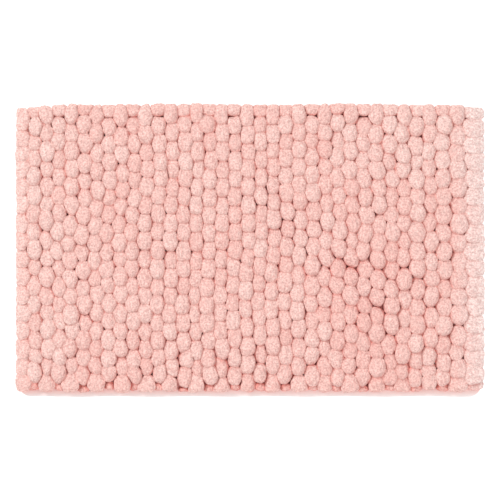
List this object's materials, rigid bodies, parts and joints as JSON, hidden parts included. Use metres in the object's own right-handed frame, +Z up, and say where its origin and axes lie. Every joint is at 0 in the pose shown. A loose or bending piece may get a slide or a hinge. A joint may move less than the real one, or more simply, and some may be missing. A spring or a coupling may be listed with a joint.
{
  "type": "bath mat",
  "caption": "Flat rectangular bath mat with a thick pile of plump yarn loops in brick-staggered columns on a thin ground cloth, lying on its flat underside.",
  "frame": {"origin": "on the floor, under the middle of the mat", "axes": "+X along the mat's length, +Y across its width towards the back edge, +Z up out of the pile"},
  "size_m": [0.8, 0.5, 0.0262],
  "materials": {
    "loop_pile": "matte brushed yarn, pale pink",
    "ground_cloth": "matte plain weave, pale pink"
  },
  "bodies": {
    "root": {"mat": "loop_pile"}
  },
  "joints": []
}
